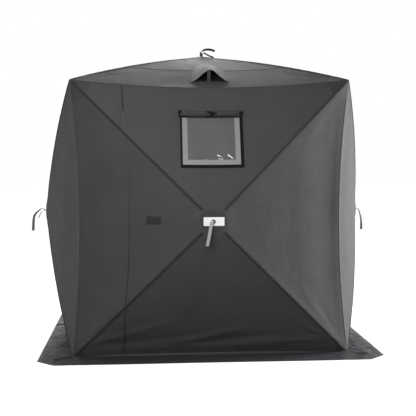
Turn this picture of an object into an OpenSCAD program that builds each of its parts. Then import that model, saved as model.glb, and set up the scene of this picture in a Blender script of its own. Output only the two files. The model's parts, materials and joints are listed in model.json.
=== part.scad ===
// Pop-up hub shelter for ice fishing.
// Four walls and a roof, each one four fabric triangles around a hub that pops in and out.
// Origin: middle of the floor, on the ground. The door wall faces -Y, and +Z is up.

/* [Shelter] */
// Width of the square floor between its corners
base_w = 1800; // [1600:50:2200]
// Height of the corners above the ground
wall_h = 1790; // [1600:10:1900]
// How far a wall's hub stands out from the plane of its four corners
wall_pop = 250; // [200:10:280]
// How far the roof's hub stands above the eaves
roof_pop = 235; // [180:5:260]
// How far each free edge curves in between its corners, in each direction
edge_pull = 50; // [20:5:60]
// Thickness of a fabric panel
fabric_t = 2; // [1:0.5:3]

/* [Poles] */
// Diameter of the glass-fibre rod
pole_d = 11; // [8:0.5:12]
// How far a tensioned pole bows outwards
pole_bow = 24; // [10:2:30]
// Gap between a pole's tip and the fabric's corner with the hub popped out
tip_gap = 60; // [56:2:70]

/* [Hubs] */
// Diameter of the moulded hub
hub_d = 116; // [110:2:124]
// Thickness of the moulded hub
hub_t = 26; // [24:1:30]
// Diameter of the pin that each pole turns on
pin_d = 6; // [5:0.5:7]
// Distance of the pins from the hub's middle
pin_r = 40; // [38:1:44]

/* [Skirt] */
// Width of the snow skirt outside the floor
skirt_w = 220; // [150:10:300]
// Thickness of the snow skirt
skirt_t = 3; // [2:0.5:4]
// Diameter of the grommets for ice anchors
grommet_d = 12; // [8:1:16]

/* [Door] */
// Distance of the door's zip from the middle of the wall
zip_x = 555; // [500:5:600]
// Distance of the fold that the door swings on from the middle of the wall
fold_x = 720; // [690:5:740]
// Height of the closed strips above and below the door
door_band = 190; // [160:10:210]
// Travel of the zip's slider
zip_travel = 900; // [600:20:900]

/* [Window] */
// Width of the window, its border included
window_w = 400; // [300:10:440]
// Height of the window along the fabric, its border included
window_h = 336; // [260:4:340]
// Distance from the eave to the top of the window, along the fabric
window_drop = 250; // [240:2:260]
// Width of the border around the clear opening
window_border = 44; // [30:2:50]
// Diameter of the rolled window cover
cover_d = 40; // [30:2:44]

/* [Vent] */
// Width of the hood's mouth
vent_w = 244; // [180:4:280]
// Height of the hood's mouth
vent_h = 92; // [60:2:110]
// Length of the hood from its mouth to its back
vent_l = 440; // [300:10:460]
// Distance of the mouth behind the eave
vent_y = 150; // [140:5:180]

/* [Hidden] */
$fn = 48;
SIDES = ["front", "right", "back", "left", "roof"];
CORNERS = ["upper_right", "lower_right", "lower_left", "upper_left"];
WALL_PANELS = ["top", "right", "bottom", "left"];
ROOF_PANELS = ["back", "right", "front", "left"];
DOOR_PARTS = ["door_upper", "none", "door_lower", "door_middle"];
STRAPS = ["front", "right", "left", "roof"];
FRONT = 0;
ROOF = 4;
TOP = 0;
BOTTOM = 2;
LEFT = 3;

fabric_color = "#48494b";
skirt_color = "#2c2d30";
trim_color = "#1c1c1e";
pole_color = "#26282b";
hub_color = "#202124";
strap_color = "#a4a5a6";
vinyl_color = "#c9d0d4";

half_w = base_w / 2;
half_h = wall_h / 2;
fit_gap = 0.1;               // on the diameter of a pin's bore
pin_drop = 18;               // of the pins below the fabric
slot_w = 13;
eye_w = 12;
eye_d = 16;
ferrule_d = 15;
tip_d = 14;
bolt_d = 8;
seam_gap = 12;               // between a panel and its diagonal, at the corner
seam_taper = 26;             // that gap's growth towards the hub
hub_gap = 105;               // between a panel and the hub's middle
edge_gap = 60;               // between a panel and its free edge
ground_gap = 30;             // the same at the ground
corner_clear = 130;          // room for the pockets at a panel's corners
door_gap = 9;                // half the slot that the zip's slider runs in
slider_w = 14;
strut = [22, 3, 74];
strut_sink = 40;             // of its foot below the flat panel, as real cloth sags there
webbing_d = 8;

function side_half(side) = side == ROOF ? half_w : half_h;
function pop(side) = side == ROOF ? roof_pop : wall_pop;
function is_across(k) = k % 2 == 1;
function edge_half(side, k) = is_across(k) ? side_half(side) : half_w;
function reach(side, k) = is_across(k) ? half_w : side_half(side);
function slant(side, k) = norm([reach(side, k), pop(side)]);
function tilt(side, k) = atan2(pop(side), reach(side, k));
function diagonal(side) = norm([half_w, side_half(side)]);
function corner_angle(side, c) =
    atan2(side_half(side) * (c == 0 || c == 3 ? 1 : -1), half_w * (c < 2 ? 1 : -1));
function pin_z(side) = pop(side) - pin_drop;
function pole_run(side) = diagonal(side) - tip_gap - pin_r;
function pole_l(side) = norm([pole_run(side), pin_z(side)]);
function pole_tilt(side) = atan2(pin_z(side), pole_run(side));
function arc_radius(chord, rise) = chord * chord / (8 * rise) + rise / 2;
function panel_name(side, k) =
    str(SIDES[side], "_", side == ROOF ? ROOF_PANELS[k] : WALL_PANELS[k], "_panel");

// Puts a child drawn flat (x right, y up, z out of the shelter) on one of the five sides.
module on_side(side) {
    if (side == ROOF)
        translate([0, 0, wall_h]) children();
    else
        rotate([0, 0, 90 * side]) translate([0, -half_w, half_h]) rotate([90, 0, 0]) children();
}

// Puts a child on a panel: x along its outer edge, y towards the hub, z out of the shelter.
module on_panel(side, k) {
    on_side(side)
        rotate([0, 0, -90 * k])
        translate([0, reach(side, k), 0])
        rotate([0, 0, 180])
        rotate([tilt(side, k), 0, 0])
        children();
}

// Turns a child's Z axis to the direction v.
module along(v) {
    rotate([0, acos(v[2] / norm(v)), atan2(v[1], v[0])]) children();
}

// A bar along a circular arc over a chord on X, bowed towards Y, between two fractions of it.
module arc_bar(chord, rise, d, from, to) {
    radius = arc_radius(chord, rise);
    half_angle = asin(chord / 2 / radius);
    translate([chord / 2, rise - radius, 0])
        rotate([0, 0, 90 + half_angle * (1 - 2 * to)])
        rotate_extrude(angle = 2 * half_angle * (to - from))
        translate([radius, 0]) circle(d = d);
}

// A point at a fraction of that arc.
function arc_point(chord, rise, f) =
    let (radius = arc_radius(chord, rise), a = asin(chord / 2 / radius) * (1 - 2 * f))
    [chord / 2 - radius * sin(a), rise - radius + radius * cos(a), 0];

// A straight sleeve on that arc, short enough for the bar to stay inside it.
module arc_sleeve(chord, rise, d, from, to) {
    a = arc_point(chord, rise, from);
    b = arc_point(chord, rise, to);
    translate(a) rotate([0, 0, atan2(b[1] - a[1], b[0] - a[0])]) rotate([0, 90, 0])
        cylinder(d = d, h = norm(b - a));
}

// ---- Poles ----

module pole(side, c) {
    length = pole_l(side);
    color(pole_color)
        on_side(side)
        rotate([0, 0, corner_angle(side, c)])
        translate([pin_r, 0, pin_z(side)])
        rotate([0, pole_tilt(side), 0])
        rotate([90, 0, 0])
        difference() {
            union() {
                arc_bar(length, pole_bow, pole_d, 0, 1);
                arc_sleeve(length, pole_bow, ferrule_d, 25 / length, 75 / length);
                arc_sleeve(length, pole_bow, tip_d, 1 - 30 / length, 1 - 1 / length);
                translate([length, 0, 0]) sphere(d = tip_d + 2);
                cylinder(d = eye_d, h = eye_w, center = true);
            }
            cylinder(d = pin_d + fit_gap, h = 2 * eye_w, center = true);
        }
}

// ---- Hubs ----

module hub_slots(side) {
    for (c = [0 : 3])
        rotate([0, 0, corner_angle(side, c)])
            translate([pin_r - 11, -slot_w / 2, -hub_t])
            cube([hub_d, slot_w, 2 * hub_t]);
}

module at_pins(side) {
    for (c = [0 : 3])
        rotate([0, 0, corner_angle(side, c)])
            translate([pin_r, 0, 0])
            rotate([90, 0, 0])
            children();
}

module hub_body(side) {
    rib_d = 44;
    difference() {
        union() {
            cylinder(d = hub_d, h = hub_t, center = true);
            translate([0, 0, -hub_t / 2 - 3]) cylinder(d = rib_d, h = 4);
        }
        hub_slots(side);
        at_pins(side) cylinder(d = pin_d + fit_gap, h = 32, center = true);
        cylinder(d = bolt_d + fit_gap, h = 3 * hub_t, center = true);
    }
}

module hub_bolt() {
    head_h = 4;
    translate([0, 0, hub_t / 2]) cylinder(d = 26, h = head_h - 1);
    translate([0, 0, -hub_t / 2 - 3]) cylinder(d = bolt_d, h = hub_t + 4);
    translate([0, 0, -hub_t / 2 - 3 - 6]) cylinder(d = 13 / cos(30), h = 6, $fn = 6);
}

module hub(side) {
    color(hub_color) on_side(side) translate([0, 0, pin_z(side)]) {
        hub_body(side);
        hub_bolt();
        at_pins(side) cylinder(d = pin_d, h = 30, center = true);
    }
}

// ---- Fabric panels ----

function seam_cut(s) = sqrt(2) * (seam_gap + seam_taper * s);
function seam_x(side, k, y) =
    edge_half(side, k) * (1 - y / slant(side, k)) - seam_cut(y / slant(side, k));

module panel_outline(side, k) {
    near = side != ROOF && k == BOTTOM ? ground_gap : edge_gap;
    far = slant(side, k) - hub_gap;
    wide = edge_half(side, k) - corner_clear;
    knee = corner_clear - seam_cut(0.1);
    narrow = seam_x(side, k, far);
    polygon([[-wide, near], [wide, near], [wide, knee], [narrow, far], [-narrow, far], [-wide, knee]]);
}

// The door's part of one front panel, grown on every side.
module door_zone(k, grow) {
    slope = cos(tilt(FRONT, k));
    width = fold_x - zip_x + 2 * grow;
    if (k == LEFT)
        translate([-base_w, (half_w - fold_x - grow) / slope]) square([2 * base_w, width / slope]);
    else
        translate([k == TOP ? zip_x - grow : -fold_x - grow, door_band / slope - grow])
            square([width, base_w]);
}

module window_hole() {
    translate([-window_w / 2 + window_border, window_drop + 10])
        square([window_w - 2 * window_border, window_h - window_border - 10]);
}

module fabric_panel(side, k) {
    color(fabric_color) on_panel(side, k) linear_extrude(fabric_t, center = true)
        difference() {
            panel_outline(side, k);
            if (side == FRONT && k != 1)
                door_zone(k, door_gap);
            if (side == FRONT && k == TOP)
                window_hole();
            if (side == ROOF && k == BOTTOM)
                strut_slot();
        }
}

// ---- Door ----

module door_part(k) {
    color(fabric_color) on_panel(FRONT, k) linear_extrude(fabric_t, center = true)
        intersection() {
            panel_outline(FRONT, k);
            door_zone(k, -door_gap);
        }
}

module zip_slider() {
    body = [26, slider_w, 7];
    puller = [50, 10, 2];
    overlap = 10;
    lift = fabric_t / 2 + 0.5;
    start = -zip_travel / 2;
    color(trim_color) on_panel(FRONT, LEFT)
        translate([start - body[0] / 2, (half_w - zip_x) / cos(tilt(FRONT, LEFT)), lift]) {
            translate([0, -body[1] / 2, 0]) cube(body);
            translate([overlap - puller[0], -puller[1] / 2, body[2] + fit_gap]) cube(puller);
        }
}

// ---- Window ----

module window_pane() {
    rim = 10;
    color(vinyl_color) on_panel(FRONT, TOP)
        translate([-window_w / 2 + rim, window_drop + 4, fabric_t / 2 + 0.5])
        cube([window_w - 2 * rim, window_h - rim - 4, 1]);
}

module window_cover() {
    overhang = 6;
    gap = 2;
    lift = fabric_t / 2 + 0.3;
    color(fabric_color) on_panel(FRONT, TOP)
        translate([0, window_drop - gap - cover_d / 2, lift + cover_d / 2])
        rotate([0, 90, 0])
        cylinder(d = cover_d, h = window_w + 2 * overhang, center = true);
}

// ---- Roof vent ----

// The slot that the strut swings through.
module strut_slot() {
    side_room = 5;
    translate([-strut[0] / 2 - side_room, vent_y])
        square([strut[0] + 2 * side_room, strut[2] + 16]);
}

module vent_hood() {
    skin = 1.5;
    lift = fabric_t / 2 + 0.3;
    ridge_end = 12;
    outer = [[-vent_w / 2, 0, 0], [0, 0, vent_h], [vent_w / 2, 0, 0], [0, vent_l, ridge_end]];
    inner = [for (p = outer) [p[0] * 0.97, p[1] * 0.97, max(0, p[2] - 3 * skin)]];
    color(fabric_color) on_panel(ROOF, BOTTOM)
        translate([0, vent_y, lift])
        difference() {
            vent_wedge(outer);
            translate([0, -1, -0.01]) vent_wedge(inner);
        }
}

module vent_wedge(p) {
    back = [p[3][0], p[3][1], 0];
    polyhedron(
        points = concat(p, [back]),
        faces = [[0, 1, 2], [0, 3, 1], [1, 3, 2], [0, 4, 3], [2, 3, 4], [0, 2, 4]]
    );
}

module vent_strut() {
    setback = 6;
    color(trim_color) on_panel(ROOF, BOTTOM)
        translate([-strut[0] / 2, vent_y + setback, -strut_sink])
        cube(strut);
}

// ---- Corners, edges and skirt ----

function corner(sx, sy, z) = [sx * half_w, sy * half_w, z];

// The directions in which the poles leave a corner.
function pocket_axes(sx, sy, up) = concat(
    [[-sx * half_w, 0, up * half_h], [0, -sy * half_w, up * half_h]],
    up < 0 ? [[-sx, -sy, 0]] : []
);

// A flared sleeve on Z that lets the pole in it swing a little.
module funnel() {
    start = 30;
    end = 78;
    wall_t = 2;
    translate([0, 0, start])
        difference() {
            cylinder(r1 = 11 + wall_t, r2 = 25 + wall_t, h = end - start);
            translate([0, 0, -0.01]) cylinder(r1 = 11, r2 = 25, h = end - start + 0.02);
        }
}

module corner_pockets() {
    ball_r = 16;
    floor_z = skirt_t + 1;
    color(trim_color)
        for (sx = [-1, 1]) for (sy = [-1, 1]) for (up = [-1, 1])
            translate(corner(sx, sy, up < 0 ? wall_h : 0)) {
                for (v = pocket_axes(sx, sy, up)) along(v) funnel();
                difference() {
                    sphere(r = ball_r);
                    if (up > 0)
                        translate([0, 0, floor_z - ball_r]) cube(2 * ball_r, center = true);
                }
            }
}

// One edge's bound webbing, on X from one corner, bowed towards Y.
module webbing(length, rise) {
    clear = 45 / length;
    arc_bar(length, rise, webbing_d, clear, 1 - clear);
}

module edge_webbing() {
    rise = edge_pull * sqrt(2);
    above_skirt = skirt_t + 1 + webbing_d / 2;
    color(trim_color) for (turn = [0 : 3]) rotate([0, 0, 90 * turn]) {
        translate([-half_w, -half_w, 0]) rotate([0, 0, 45]) rotate([0, -90, -90])
            webbing(wall_h, rise);
        translate([-half_w, -half_w, wall_h]) rotate([-45, 0, 0]) webbing(base_w, rise);
        translate([-half_w, -half_w, above_skirt]) webbing(base_w, edge_pull);
    }
}

module skirt_strip() {
    inner = half_w - 60;
    outer = half_w + skirt_w;
    chamfer = 110;
    seam = 1;
    linear_extrude(skirt_t) polygon([
        [-inner + seam, -inner], [inner - seam, -inner],
        [outer - chamfer / 2 - seam, -outer + chamfer / 2], [outer - chamfer, -outer],
        [-outer + chamfer, -outer], [-outer + chamfer / 2 + seam, -outer + chamfer / 2]
    ]);
}

module snow_skirt() {
    grommet_x = half_w + skirt_w - 65;
    grommet_y = half_w + 60;
    color(skirt_color) difference() {
        for (turn = [0 : 3]) rotate([0, 0, 90 * turn]) skirt_strip();
        for (sx = [-1, 1]) for (sy = [-1, 1])
            translate([sx * grommet_x, sy * grommet_y, -1]) cylinder(d = grommet_d, h = skirt_t + 2);
    }
}

// ---- Pull straps ----

front_tail = [[0, -1158, 900], [-1, -1172, 898], [-5, -1188, 886], [-12, -1199, 862], [-22, -1205, 828],
    [-34, -1206, 788], [-48, -1206, 747]];
left_tail = [[-1160, 0, 902], [-1174, 0, 914], [-1188, 0, 916], [-1206, 0, 904], [-1228, 0, 884],
    [-1243, 0, 860], [-1249, 0, 830], [-1251, 0, 795], [-1253, 0, 753]];
right_tail = [[1160, 0, 900], [1172, 0, 900], [1184, 0, 888], [1194, 0, 864], [1202, 0, 835],
    [1206, 0, 800], [1207, 0, 770], [1207, 0, 740]];
roof_tail = [[-4, 0, 2034], [-6, 0, 2048], [-5, 0, 2062], [4, 0, 2074], [22, 0, 2082],
    [45, 0, 2086], [70, 0, 2083], [98, 0, 2074]];
TAILS = [front_tail, right_tail, left_tail, roof_tail];

// A round-edged tube along a list of points, in one closed skin.
module swept_strap(points, d) {
    sides = 8;
    last = len(points) - 1;
    rings = [for (i = [0 : last])
        let (
            t = points[min(i + 1, last)] - points[max(i - 1, 0)],
            u = t / norm(t),
            across = abs(u[1]) < 0.9 ? [0, 1, 0] : [1, 0, 0],
            v = cross(u, across) / norm(cross(u, across)),
            w = cross(u, v)
        )
        for (s = [0 : sides - 1])
            points[i] + d / 2 * (v * cos(360 * s / sides) + w * sin(360 * s / sides))
    ];
    skin = [for (i = [0 : last - 1]) for (s = [0 : sides - 1]) for (half = [0, 1])
        let (a = i * sides + s, b = i * sides + (s + 1) % sides)
        half == 0 ? [a, b, b + sides] : [a, b + sides, a + sides]
    ];
    ends = [[for (s = [sides - 1 : -1 : 0]) s], [for (s = [0 : sides - 1]) last * sides + s]];
    polyhedron(points = rings, faces = concat(skin, ends));
}

module strap(i) {
    color(strap_color) swept_strap(TAILS[i], 12);
}

// ---- Assembly ----

snow_skirt();
corner_pockets();
edge_webbing();
for (side = [0 : 4]) {
    hub(side);
    for (c = [0 : 3])
        pole(side, c);
    for (k = [0 : 3])
        fabric_panel(side, k);
}
for (k = [TOP, BOTTOM, LEFT])
    door_part(k);
zip_slider();
window_pane();
window_cover();
vent_hood();
vent_strut();
for (i = [0 : 3])
    strap(i);
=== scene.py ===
# A pop-up hub shelter for ice fishing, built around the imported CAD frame, in metres.
# Origin: middle of the floor, on the ground. The door wall faces -Y, and +Z is up.
import json
import math

import bpy
import numpy as np
from mathutils import Matrix, Vector, noise
from mathutils.geometry import delaunay_2d_cdt


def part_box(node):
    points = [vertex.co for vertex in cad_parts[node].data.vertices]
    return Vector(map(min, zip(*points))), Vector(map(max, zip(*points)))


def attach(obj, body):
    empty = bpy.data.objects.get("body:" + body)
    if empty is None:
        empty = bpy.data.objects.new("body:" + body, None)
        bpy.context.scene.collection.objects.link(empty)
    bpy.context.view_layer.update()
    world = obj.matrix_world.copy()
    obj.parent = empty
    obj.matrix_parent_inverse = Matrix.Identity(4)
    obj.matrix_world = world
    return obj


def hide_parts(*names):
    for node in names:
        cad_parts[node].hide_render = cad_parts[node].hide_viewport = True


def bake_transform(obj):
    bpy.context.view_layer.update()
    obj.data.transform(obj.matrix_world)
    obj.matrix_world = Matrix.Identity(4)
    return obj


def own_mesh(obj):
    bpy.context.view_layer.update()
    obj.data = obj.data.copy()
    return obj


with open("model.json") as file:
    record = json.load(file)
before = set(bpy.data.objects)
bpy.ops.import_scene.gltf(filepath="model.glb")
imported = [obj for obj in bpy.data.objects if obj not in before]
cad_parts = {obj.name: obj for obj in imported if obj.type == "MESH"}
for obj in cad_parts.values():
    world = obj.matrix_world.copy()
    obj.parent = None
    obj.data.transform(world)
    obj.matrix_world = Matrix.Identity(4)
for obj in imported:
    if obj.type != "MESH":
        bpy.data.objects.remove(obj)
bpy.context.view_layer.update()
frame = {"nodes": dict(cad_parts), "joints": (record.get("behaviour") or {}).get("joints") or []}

# ---- Sizes, read from the frame ----

JOINTS = {joint["name"]: joint for joint in frame["joints"]}
EDGE_FOLD = JOINTS["front_top_panel_fold"]["pos_m"]
PIN_DROP = 0.018  # of the poles' pins below the fabric
HALF_W = -EDGE_FOLD[1]
WALL_H = EDGE_FOLD[2]
HALF_H = WALL_H / 2
WALL_POP = -JOINTS["front_upper_right_pole_swing"]["pos_m"][1] - HALF_W + PIN_DROP
ROOF_POP = JOINTS["roof_upper_right_pole_swing"]["pos_m"][2] - WALL_H + PIN_DROP
FOLD_X = -JOINTS["door_middle_swing"]["pos_m"][0]
SKIRT_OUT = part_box("snow_skirt")[1].x
WINDOW_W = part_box("window_pane")[1].x * 2 + 0.02
WINDOW_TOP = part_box("window_pane")[1].z + 0.004
WINDOW_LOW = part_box("window_pane")[0].z - 0.01

EDGE_IN = 0.05  # how far a free edge curves in, in each direction
GROUND_UP = 0.16  # share of that by which the bottom edge also rises
SEAM_BOW = 0.024  # how far a seam bows out with its pole
SKIN = 0.0012  # thickness of the cloth
HUB_HOLE = 0.058  # how near a panel runs to its hub's middle, along a seam
STEP = 0.014  # spacing of a panel's mesh
SHARP = 0.8  # an edge that turns more than this shows as an edge

GREY = {
    "fabric": (0.055, 0.056, 0.0585),
    "patch": (0.045, 0.046, 0.048),
    "skirt": (0.030, 0.031, 0.034),
    "trim": (0.012, 0.012, 0.013),
    "strap": (0.30, 0.30, 0.31),
    "white": (0.78, 0.78, 0.78),
    "border": (0.21, 0.215, 0.22),
}


class Side:
    """One wall or the roof: u to the right, v up, n out, seen from outside."""

    def __init__(self, name, origin, u, v, half_v, pop):
        self.name = name
        self.origin = np.array(origin, float)
        self.u = np.array(u, float)
        self.v = np.array(v, float)
        self.n = np.cross(self.u, self.v)
        self.half_u = HALF_W
        self.half_v = half_v
        self.pop = pop

    def at(self, u, v, n):
        """World places of points given along u, v and n."""
        u, v, n = np.broadcast_arrays(u, v, n)
        moved = [np.multiply.outer(a, way) for a, way in ((u, self.u), (v, self.v), (n, self.n))]
        return self.origin + moved[0] + moved[1] + moved[2]


def wall(name, out, right):
    """A wall that faces the way `out` points, with `right` to its right."""
    middle = np.array([*out, 0.0]) * HALF_W + (0, 0, HALF_H)
    return Side(name, middle, (*right, 0), (0, 0, 1), HALF_H, WALL_POP)


SIDES = {
    "front": wall("front", (0, -1), (1, 0)),
    "right": wall("right", (1, 0), (0, 1)),
    "back": wall("back", (0, 1), (-1, 0)),
    "left": wall("left", (-1, 0), (0, -1)),
    "roof": Side("roof", (0, 0, WALL_H), (1, 0, 0), (0, 1, 0), HALF_W, ROOF_POP),
}
# A panel's outward direction in (u, v), by its name on a wall and on the roof.
WALL_PANELS = {"top": (0, 1), "right": (1, 0), "bottom": (0, -1), "left": (-1, 0)}
ROOF_PANELS = {"back": (0, 1), "right": (1, 0), "front": (0, -1), "left": (-1, 0)}


# ---- Camera ----


def add_camera():
    place = Vector((-0.4235, -6.683, 1.3131))
    yaw, pitch, roll = 0.0697, -0.0601, -0.0038
    data = bpy.data.cameras.new("camera")
    data.sensor_width = 36
    data.lens = 77.6
    camera = bpy.data.objects.new("camera", data)
    bpy.context.scene.collection.objects.link(camera)
    ahead = Vector((math.sin(yaw) * math.cos(pitch), math.cos(yaw) * math.cos(pitch), math.sin(pitch)))
    turn = ahead.to_track_quat("-Z", "Y").to_matrix().to_4x4()
    camera.matrix_world = Matrix.Translation(place) @ turn @ Matrix.Rotation(roll, 4, "Z")
    bpy.context.scene.camera = camera


add_camera()


# ---- Materials ----


class Nodes:
    """A material's node tree, with short calls for what the materials below share."""

    def __init__(self, name):
        self.material = bpy.data.materials.new(name)
        self.material.use_nodes = True
        self.tree = self.material.node_tree
        self.shader = self.tree.nodes["Principled BSDF"]
        self.output = self.tree.nodes["Material Output"]

    def add(self, kind, **values):
        node = self.tree.nodes.new(kind)
        for key, value in values.items():
            if hasattr(node, key):
                setattr(node, key, value)
            else:
                node.inputs[key.replace("_", " ")].default_value = value
        return node

    def link(self, a, b):
        self.tree.links.new(a, b)

    def set(self, **values):
        for key, value in values.items():
            self.shader.inputs[key.replace("_", " ")].default_value = value

    def coords(self, kind="UV", scale=(1, 1, 1)):
        source = self.add("ShaderNodeTexCoord")
        mapping = self.add("ShaderNodeMapping")
        mapping.inputs["Scale"].default_value = scale
        self.link(source.outputs[kind], mapping.inputs["Vector"])
        return mapping.outputs["Vector"]

    def noise(self, vector, scale, detail=4, roughness=0.5, distortion=0.0):
        node = self.add("ShaderNodeTexNoise")
        node.inputs["Scale"].default_value = scale
        node.inputs["Detail"].default_value = detail
        node.inputs["Roughness"].default_value = roughness
        node.inputs["Distortion"].default_value = distortion
        self.link(vector, node.inputs["Vector"])
        return node.outputs["Fac"]

    def wave(self, vector, scale, direction, distortion=0.0):
        node = self.add("ShaderNodeTexWave", bands_direction=direction)
        node.inputs["Scale"].default_value = scale
        node.inputs["Distortion"].default_value = distortion
        self.link(vector, node.inputs["Vector"])
        return node.outputs["Fac"]

    def math(self, operation, a, b=None):
        node = self.add("ShaderNodeMath", operation=operation)
        for socket, value in zip(node.inputs, (a, b)):
            if value is None:
                continue
            if isinstance(value, (int, float)):
                socket.default_value = value
            else:
                self.link(value, socket)
        return node.outputs[0]

    def ramp(self, value, low, high, out_low, out_high):
        node = self.add("ShaderNodeMapRange")
        node.inputs["From Min"].default_value = low
        node.inputs["From Max"].default_value = high
        node.inputs["To Min"].default_value = out_low
        node.inputs["To Max"].default_value = out_high
        self.link(value, node.inputs["Value"])
        return node.outputs["Result"]

    def tint(self, colour, amount):
        """The colour, made lighter or darker by an amount that varies around 1."""
        node = self.add("ShaderNodeMix", data_type="RGBA", blend_type="MULTIPLY")
        node.inputs["Factor"].default_value = 1.0
        node.inputs[6].default_value = (*colour, 1)
        grey = self.add("ShaderNodeCombineColor")
        for socket in grey.inputs:
            self.link(amount, socket)
        self.link(grey.outputs[0], node.inputs[7])
        self.link(node.outputs[2], self.shader.inputs["Base Color"])

    def bump(self, height, distance, strength=1.0, after=None):
        node = self.add("ShaderNodeBump")
        node.inputs["Strength"].default_value = strength
        node.inputs["Distance"].default_value = distance
        self.link(height, node.inputs["Height"])
        if after is not None:
            self.link(after, node.inputs["Normal"])
        self.link(node.outputs["Normal"], self.shader.inputs["Normal"])
        return node.outputs["Normal"]


def cloth_material(name, colour, rough=0.72, weave=0.9, crinkle=0.5, shine=0.06):
    """Coated Oxford cloth: a basket weave, soft mottling and a fine crinkle."""
    made = Nodes(name)
    uv = made.coords()
    mottle = made.noise(uv, 3.5, detail=5, roughness=0.6)
    fleck = made.noise(uv, 190, detail=2)
    across = made.wave(uv, 420, "X")
    along = made.wave(uv, 420, "Y")
    basket = made.math("MAXIMUM", across, along)
    shade = made.math("ADD", made.ramp(mottle, 0.3, 0.7, 0.93, 1.07), made.ramp(fleck, 0.3, 0.7, -0.05, 0.05))
    made.tint(colour, made.math("MULTIPLY", shade, made.ramp(basket, 0.4, 1.0, 0.93, 1.03)))
    worn = made.noise(uv, 9, detail=6, roughness=0.65)
    made.link(made.ramp(worn, 0.3, 0.7, rough - 0.06, rough + 0.06), made.shader.inputs["Roughness"])
    made.set(Specular_IOR_Level=shine)
    creases = made.noise(uv, 22, detail=5, roughness=0.55, distortion=0.6)
    first = made.bump(creases, 0.004 * crinkle)
    made.bump(basket, 0.0004 * weave, after=first)
    return made.material


def plastic_material(name, colour, rough=0.45, grain=350, shine=0.5):
    """Moulded plastic with a fine texture and a little wear."""
    made = Nodes(name)
    place = made.coords("Object")
    wear = made.noise(place, 30, detail=5, roughness=0.6)
    made.tint(colour, made.ramp(wear, 0.3, 0.7, 0.85, 1.2))
    made.link(made.ramp(wear, 0.3, 0.7, rough - 0.08, rough + 0.1), made.shader.inputs["Roughness"])
    made.set(Specular_IOR_Level=shine)
    made.bump(made.noise(place, grain, detail=3), 0.0005, 0.4)
    return made.material


def rod_material():
    """Pultruded glass fibre: long faint streaks under a clear coat."""
    made = Nodes("glass_fibre")
    streaks = made.noise(made.coords("Object", (60, 60, 12)), 12, detail=6, roughness=0.7)
    made.tint((0.02, 0.021, 0.023), made.ramp(streaks, 0.3, 0.7, 0.7, 1.5))
    made.set(Roughness=0.32, Coat_Weight=0.4, Coat_Roughness=0.15)
    made.bump(streaks, 0.0003, 0.5)
    return made.material


def webbing_material(name, colour, rough=0.7, pitch=0.0022):
    """Woven webbing: herringbone ribs along the strap, in UV metres."""
    made = Nodes(name)
    uv = made.coords()
    ribs = made.wave(uv, 0.16 / pitch, "DIAGONAL")
    dust = made.noise(uv, 60, detail=4)
    woven = made.ramp(ribs, 0, 1, 0.82, 1.08)
    dusty = made.ramp(dust, 0.3, 0.7, 0.9, 1.1)
    made.tint(colour, made.math("MULTIPLY", woven, dusty))
    made.set(Roughness=rough, Specular_IOR_Level=0.08)
    made.bump(ribs, 0.0005, 0.8)
    return made.material


def vinyl_material():
    """Clear soft vinyl, a little smoky, with a crisp gloss."""
    made = Nodes("vinyl")
    uv = made.coords()
    haze = made.noise(uv, 6, detail=4)
    made.tint((0.15, 0.15, 0.148), made.ramp(haze, 0.3, 0.7, 0.9, 1.1))
    made.set(Roughness=0.09, IOR=1.5, Specular_IOR_Level=0.8, Alpha=0.42)
    made.set(Coat_Weight=0.5, Coat_Roughness=0.05)
    made.bump(made.noise(uv, 25, detail=4, distortion=0.8), 0.0015, 0.5)
    return made.material


def mesh_material():
    """Insect netting: near black, with a fine open grid."""
    made = Nodes("netting")
    uv = made.coords()
    grid = made.math("MAXIMUM", made.wave(uv, 130, "X"), made.wave(uv, 130, "Y"))
    made.tint((0.012, 0.012, 0.013), made.ramp(grid, 0.5, 1, 0.5, 1.6))
    made.set(Roughness=0.85, Specular_IOR_Level=0.2)
    made.bump(grid, 0.0006, 0.7)
    return made.material


FABRIC = cloth_material("oxford_cloth", GREY["fabric"])
PATCH = cloth_material("patch_cloth", GREY["patch"], rough=0.65, weave=1.3, crinkle=0.2, shine=0.08)
SEAM = cloth_material("seam_cloth", (0.031, 0.032, 0.034), rough=0.7, weave=1.3, crinkle=0.2, shine=0.06)
SKIRT = cloth_material("skirt_cloth", GREY["skirt"], rough=0.45, crinkle=1.6, shine=0.2)
BINDING = webbing_material("binding", (0.006, 0.006, 0.0065))
STRAP = webbing_material("strap_webbing", GREY["strap"])
GREY_STRAP = webbing_material("grey_webbing", (0.16, 0.16, 0.165))
DARK_STRAP = webbing_material("dark_webbing", (0.032, 0.032, 0.034))
WHITE = cloth_material("white_patch", GREY["white"], rough=0.5, crinkle=0.3)
BORDER = cloth_material("window_border", GREY["border"], rough=0.4, crinkle=1.2, shine=0.2)
TRIM = plastic_material("moulded_trim", GREY["trim"])
HUB = plastic_material("moulded_nylon", (0.018, 0.018, 0.02), rough=0.5, grain=220)
ROD = rod_material()
VINYL = vinyl_material()
NETTING = mesh_material()


# ---- Mesh tools ----


def piece(name, points, faces, material, uv=None, slot="fabric", smooth=True):
    """A mesh object from points and faces, with a UV in metres for each point."""
    data = bpy.data.meshes.new(name)
    data.from_pydata(np.asarray(points, float).tolist(), [], [list(map(int, face)) for face in faces])
    data.validate()
    if uv is not None:
        layer = data.uv_layers.new(name="cloth")
        index = np.zeros(len(data.loops), np.int32)
        data.loops.foreach_get("vertex_index", index)
        layer.data.foreach_set("uv", np.asarray(uv, np.float32)[index].ravel())
    if smooth:
        data.polygons.foreach_set("use_smooth", [True] * len(data.polygons))
    data.set_sharp_from_angle(angle=SHARP)
    data.materials.append(material)
    data.update()
    made = bpy.data.objects.new(name, data)
    bpy.context.scene.collection.objects.link(made)
    return made


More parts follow.
